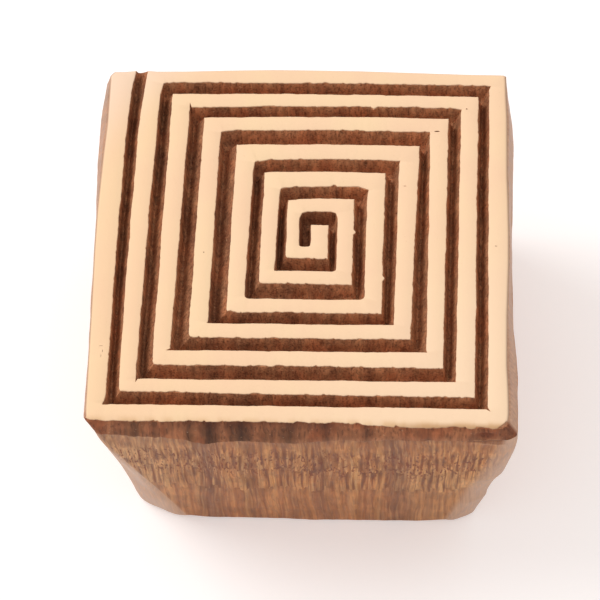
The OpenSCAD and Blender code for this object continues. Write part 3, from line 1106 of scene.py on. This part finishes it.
coat_edges = [(*coat_edge(row, OUTER, 0), OUTER_EDGE, 0.0) for row in range(len(groove_grid))]
for index in hook_rings[0][1:-1]:
    spot = wood.points[index].xy
    coat_edges.append((spot, (spot - hook_middle).normalized(), travel, 0.2, 0.3, HOOK_EDGE, 0.0))
for row in reversed(range(len(groove_grid))):
    coat_edges.append((*coat_edge(row, INNER, LAST_LINE), INNER_EDGE, 0.0))
for index, part in rim:
    spot = wood.points[index].xy
    limit = RIM_LIMIT
    worn = 0.0 if "front" in part else 1.0
    if part == "back":
        gap = min(abs(spot.x - wood.points[groove_grid[0][line]].x) for line in (0, LAST_LINE))
        limit = LEAST_LIMIT + LIMIT_SHARE * gap
        worn = min(1.0, gap / RIM_FADE)
    if part in ("left", "right"):
        worn = min(1.0, (spot.y + FACE_HALF) / 2)
    rag = 1.3 if part == "front" else 0.2
    coat_edges.append((spot, spot / -FACE_HALF, spot.x - spot.y, rag, limit, RIM_EDGE, worn))

ground = Shell()
PAINT, BARE_WOOD = range(2)

# Edge of the coat
coat_loops = []
for groove_ring, worn_ring in zip(GROOVE_RINGS, WORN_RINGS):
    loop = []
    for spot, inward, place, rag, limit, kind, worn in coat_edges:
        deepest = RIM_FLAKE if kind == RIM_EDGE else GROOVE_FLAKE
        chipped = min(deepest, FLAKE_SHARE * rag * chip(place + 0.2, kind + 60))
        edge = 0.02 + bumps(EDGE_BUMPS, place, kind) + chipped
        broken = max(0.0, spot.x - spot.y - BROKEN_LINE) / 2 if kind == RIM_EDGE else 0.0
        broken *= 1 + bumps(BREAK_BUMPS, place, 62)
        rise = lerp(groove_ring[0], worn_ring[0], worn) * COAT_SCALE
        inset = lerp(groove_ring[1] + edge, worn_ring[1], worn) + broken
        flat = spot + inward * min(inset, limit)
        loop.append(ground.point(flat.x, flat.y, WOOD_TOP + rise))
    coat_loops.append(loop)
for lower, upper in zip(coat_loops, coat_loops[1:]):
    for k in range(len(lower)):
        following = (k + 1) % len(lower)
        ground.face((lower[k], upper[k], upper[following], lower[following]), PAINT)

# Nicks, down to the bare wood
nick_loops = []
for x, y, half_length, half_width in NICKS:
    turns = [2 * pi * k / NICK_STEPS for k in range(NICK_STEPS)]
    corners = [(cos(turned) * half_length, sin(turned) * half_width) for turned in turns]
    nick = []
    for share, z in NICK_RINGS:
        nick.append([ground.point(x + over * share, y + back * share, z) for over, back in corners])
    for k in range(NICK_STEPS):
        following = (k + 1) % NICK_STEPS
        ground.face((nick[0][k], nick[0][following], nick[1][following], nick[1][k]), BARE_WOOD)
    ground.face(nick[1], BARE_WOOD)
    nick_loops.append(nick[0])

# Underside and top of the coat
under = coat_loops[0]
for triangle in fill([ground.points[index].xy for index in under]):
    ground.face((under[k] for k in reversed(triangle)), PAINT)
top_flat = [ground.points[index].xy for index in coat_loops[-1]]
top_numbers = coat_loops[-1] + [index for ring in nick_loops for index in ring]
for triangle in fill(top_flat, [[ground.points[index].xy for index in ring] for ring in nick_loops]):
    ground.face((top_numbers[k] for k in triangle), PAINT)


def make_ground_paint():
    """Pale chalky paint, warmer to the left, with painted shade along the front edge and where its worn edges
    slope down.
    """
    material, tree, shader = start_material("pale_ground_paint")
    place = millimetres(tree)
    across, back, rise = add(tree, "SeparateXYZ", {0: place}).outputs
    patches = cloud(tree, place, (0.1, 0.07, 0.1), 3.0, 0.55)
    specks = cloud(tree, place, (1.6, 1.6, 1.6), 3.0, 0.6)
    stops = [(0.35, srgb(248, 208, 171)), (0.5, srgb(249, 211, 172)), (0.65, srgb(249, 214, 172))]
    to_near_right = reckon(tree, "SUBTRACT", across, back)
    to_far_left = reckon(tree, "SUBTRACT", back, across)
    edge_shade_patches = rescale(tree, cloud(tree, place, (0.4, 0.1, 0)), 0.4, 0.6, 0.2, 1)
    front_edge_painted_shade = times(tree, rescale(tree, back, -28.9, -30.3, 0, 0.8), edge_shade_patches)
    right_front_edge_painted_shade = times(tree, rescale(tree, back, -29.4, -30.4, 0, 0.9), rescale(tree, across, 9, 20))
    low_edge_painted_shade = rescale(tree, rise, BLOCK_TOP - 0.01, BLOCK_TOP - 0.22, 0, 0.85)
    tone = layered(tree, ramp(tree, patches, stops), [
        (rescale(tree, specks, 0.36, 0.26, 0, 0.25), (228, 182, 142)),
        (rescale(tree, across, 0, -45, 0, 0.5), (249, 206, 160)),
        (rescale(tree, to_near_right, 14, 50, 0, 0.7), (250, 218, 184)),
        (rescale(tree, to_far_left, 42, 58, 0, 0.7), (249, 218, 194)),
        # Painted shade along the front edge and down the sloping edges
        (front_edge_painted_shade, (226, 182, 134)),
        (right_front_edge_painted_shade, (198, 152, 106)),
        (low_edge_painted_shade, (182, 142, 115)),
    ])
    tree.links.new(tone, shader.inputs["Base Color"])
    shader.inputs["Roughness"].default_value = 0.7
    bump = add(tree, "Bump", {"Strength": 0.4, "Distance": 0.08 * MM, "Height": specks})
    tree.links.new(bump.outputs[0], shader.inputs["Normal"])
    return material


coat = make_piece("ground_coat_paint", ground, [make_ground_paint(), groove_wood])
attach(coat, "root")
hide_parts("ground_coat")

# Floor
# A sheet of white paper under the block, which is no part of it.
# It is bright enough to fade out all round, and keeps the soft shadow.
FLOOR_REACH = 3.0
PAPER_GLOW = 0.38
corners = [(x * FLOOR_REACH, y * FLOOR_REACH, 0) for x, y in ((-1, -1), (1, -1), (1, 1), (-1, 1))]
floor_mesh = bpy.data.meshes.new("paper")
floor_mesh.from_pydata(corners, [], [(0, 1, 2, 3)])
paper_sheet = bpy.data.objects.new("paper", floor_mesh)
bpy.context.scene.collection.objects.link(paper_sheet)
paper, tree, shader = start_material("white_paper")
shader.inputs["Base Color"].default_value = (0.78, 0.79, 0.79, 1)
shader.inputs["Roughness"].default_value = 1.0
shader.inputs["Specular IOR Level"].default_value = 0.0
path = add(tree, "LightPath")
seen = reckon(tree, "MAXIMUM", path.outputs["Is Camera Ray"], path.outputs["Is Glossy Ray"])
seen = reckon(tree, "MAXIMUM", seen, path.outputs["Is Transmission Ray"])
shader.inputs["Emission Color"].default_value = (1.0, 0.88, 0.86, 1)
tree.links.new(times(tree, seen, PAPER_GLOW), shader.inputs["Emission Strength"])
floor_mesh.materials.append(paper)

# Light
# A pale room lights the block evenly from all round.
# One large soft lamp, high on the left, gives the sides their shade and the floor its shadow.
ROOM_STRENGTH = 0.74
LAMP_PLACE = Vector((-1.6, 0.6, 1.75))
LAMP_AIM = Vector((0, 0, 0.03))
LAMP_WIDTH = 1.5
LAMP_POWER = 27.0
world = bpy.data.worlds.new("room")
bpy.context.scene.world = world
world.use_nodes = True
world.node_tree.nodes["Background"].inputs["Color"].default_value = (1.0, 0.98, 0.96, 1)
world.node_tree.nodes["Background"].inputs["Strength"].default_value = ROOM_STRENGTH
lamp_data = bpy.data.lights.new("window", "AREA")
lamp_data.shape = "DISK"
lamp_data.size = LAMP_WIDTH
lamp_data.energy = LAMP_POWER
lamp = bpy.data.objects.new("window", lamp_data)
lamp.location = LAMP_PLACE
lamp.rotation_mode = "QUATERNION"
lamp.rotation_quaternion = (LAMP_AIM - LAMP_PLACE).to_track_quat("-Z", "Y")
bpy.context.scene.collection.objects.link(lamp)

# Camera
# A long lens above the front edge, turned and tilted a little, as the photograph was taken.
# Its distance and aim are in mm from the middle of the face.
YAW = radians(4.11)
RISE = radians(60.34)
ROLL = radians(-2.76)
LENS = 184.2
DISTANCE = 451.9
AIM = (-0.2, -8.6)
camera_data = bpy.data.cameras.new("camera")
camera_data.sensor_width = 36.0
camera_data.lens = LENS
camera = bpy.data.objects.new("camera", camera_data)
bpy.context.scene.collection.objects.link(camera)
bpy.context.scene.camera = camera
back = Vector((sin(YAW) * cos(RISE), -cos(YAW) * cos(RISE), sin(RISE)))
right = Vector((cos(YAW), sin(YAW), 0))
up = back.cross(right)
turned_right = right * cos(ROLL) + up * sin(ROLL)
turned_up = up * cos(ROLL) - right * sin(ROLL)
eye = Vector((0, 0, BLOCK_TOP)) + turned_right * AIM[0] + turned_up * AIM[1] + back * DISTANCE
turn = Matrix((turned_right, turned_up, back)).transposed().to_4x4()
camera.matrix_world = Matrix.Translation(eye * MM) @ turn

bpy.context.scene.view_settings.view_transform = "Standard"
